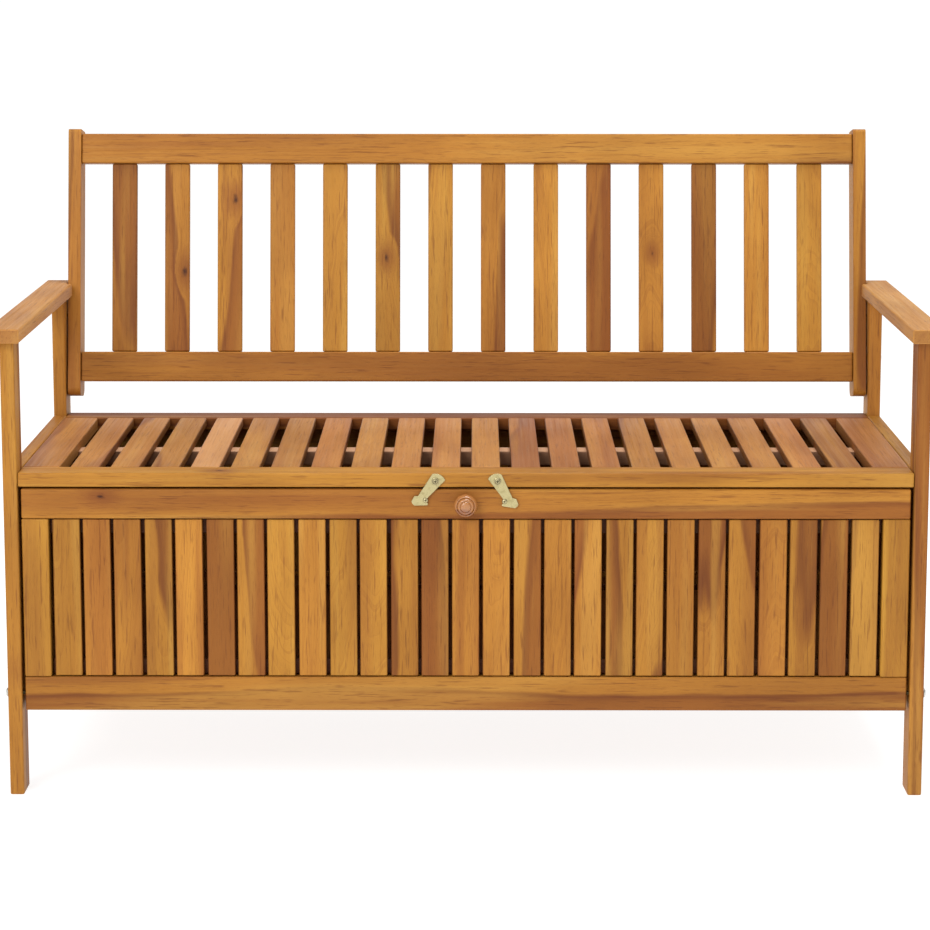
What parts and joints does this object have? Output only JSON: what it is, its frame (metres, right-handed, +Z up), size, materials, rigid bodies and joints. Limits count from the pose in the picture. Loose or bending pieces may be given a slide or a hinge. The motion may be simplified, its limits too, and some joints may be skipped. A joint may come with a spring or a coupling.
{
  "type": "garden storage bench",
  "caption": "Slatted hardwood garden bench with armrests and a storage box under the seat, opened by a drop-down front flap with hook latches.",
  "frame": {"origin": "middle of the bounding box at ground level", "axes": "+X to the right as seen from the front, +Y from the front flap towards the backrest, +Z up"},
  "size_m": [1.2, 0.5776, 0.82],
  "materials": {
    "oiled_wood": "satin oil on red-brown hardwood with pale sapwood streaks",
    "plated_brass": "pale brass plate, lightly brushed",
    "zinc_steel": "zinc plated"
  },
  "bodies": {
    "bench_frame": {"front_leg_left": "oiled_wood", "rear_leg_left": "oiled_wood", "armrest_left": "oiled_wood", "side_top_rail_left": "oiled_wood", "side_bottom_rail_left": "oiled_wood", "side_slat_panel_left": "oiled_wood", "back_post_left": "oiled_wood", "seat_end_board_left": "oiled_wood", "front_leg_right": "oiled_wood", "rear_leg_right": "oiled_wood", "armrest_right": "oiled_wood", "side_top_rail_right": "oiled_wood", "side_bottom_rail_right": "oiled_wood", "side_slat_panel_right": "oiled_wood", "back_post_right": "oiled_wood", "seat_end_board_right": "oiled_wood", "rear_top_rail": "oiled_wood", "rear_bottom_rail": "oiled_wood", "rear_slat_panel": "oiled_wood", "floor_front_rail": "oiled_wood", "floor_rear_rail": "oiled_wood", "floor_slat_panel": "oiled_wood", "seat_front_rail": "oiled_wood", "seat_rear_rail": "oiled_wood", "seat_slat_panel": "oiled_wood", "back_bottom_rail": "oiled_wood", "back_top_rail": "oiled_wood", "back_slat_01": "oiled_wood", "back_slat_02": "oiled_wood", "back_slat_03": "oiled_wood", "back_slat_04": "oiled_wood", "back_slat_05": "oiled_wood", "back_slat_06": "oiled_wood", "back_slat_07": "oiled_wood", "back_slat_08": "oiled_wood", "back_slat_09": "oiled_wood", "back_slat_10": "oiled_wood", "back_slat_11": "oiled_wood", "back_slat_12": "oiled_wood", "back_slat_13": "oiled_wood", "back_slat_14": "oiled_wood", "flap_pivot_bolt_left": "zinc_steel", "flap_pivot_bolt_right": "zinc_steel", "back_bolt_lower_left": "zinc_steel", "back_bolt_lower_right": "zinc_steel", "back_bolt_upper_left": "zinc_steel", "back_bolt_upper_right": "zinc_steel", "latch_screw_left": "plated_brass", "latch_screw_right": "plated_brass"},
    "front_flap": {"flap_top_rail": "oiled_wood", "flap_bottom_rail": "oiled_wood", "flap_stile_left": "oiled_wood", "flap_stile_right": "oiled_wood", "flap_slat_panel": "oiled_wood", "knob": "oiled_wood", "knob_screw": "zinc_steel", "latch_stud_left": "plated_brass", "latch_stud_right": "plated_brass"},
    "latch_left": {"latch_left": "plated_brass"},
    "latch_right": {"latch_right": "plated_brass"}
  },
  "joints": [
    {"name": "flap_hinge", "type": "hinge", "parent": "bench_frame", "child": "front_flap", "pos_m": [0, -0.25848, 0.133], "axis": [1, 0, 0], "range_deg": [0, 110]},
    {"name": "latch_left_pivot", "type": "hinge", "parent": "bench_frame", "child": "latch_left", "pos_m": [-0.0383, -0.26948, 0.41], "axis": [0, 1, 0], "range_deg": [0, 90]},
    {"name": "latch_right_pivot", "type": "hinge", "parent": "bench_frame", "child": "latch_right", "pos_m": [0.0403, -0.26948, 0.41], "axis": [0, -1, 0], "range_deg": [0, 90]}
  ]
}
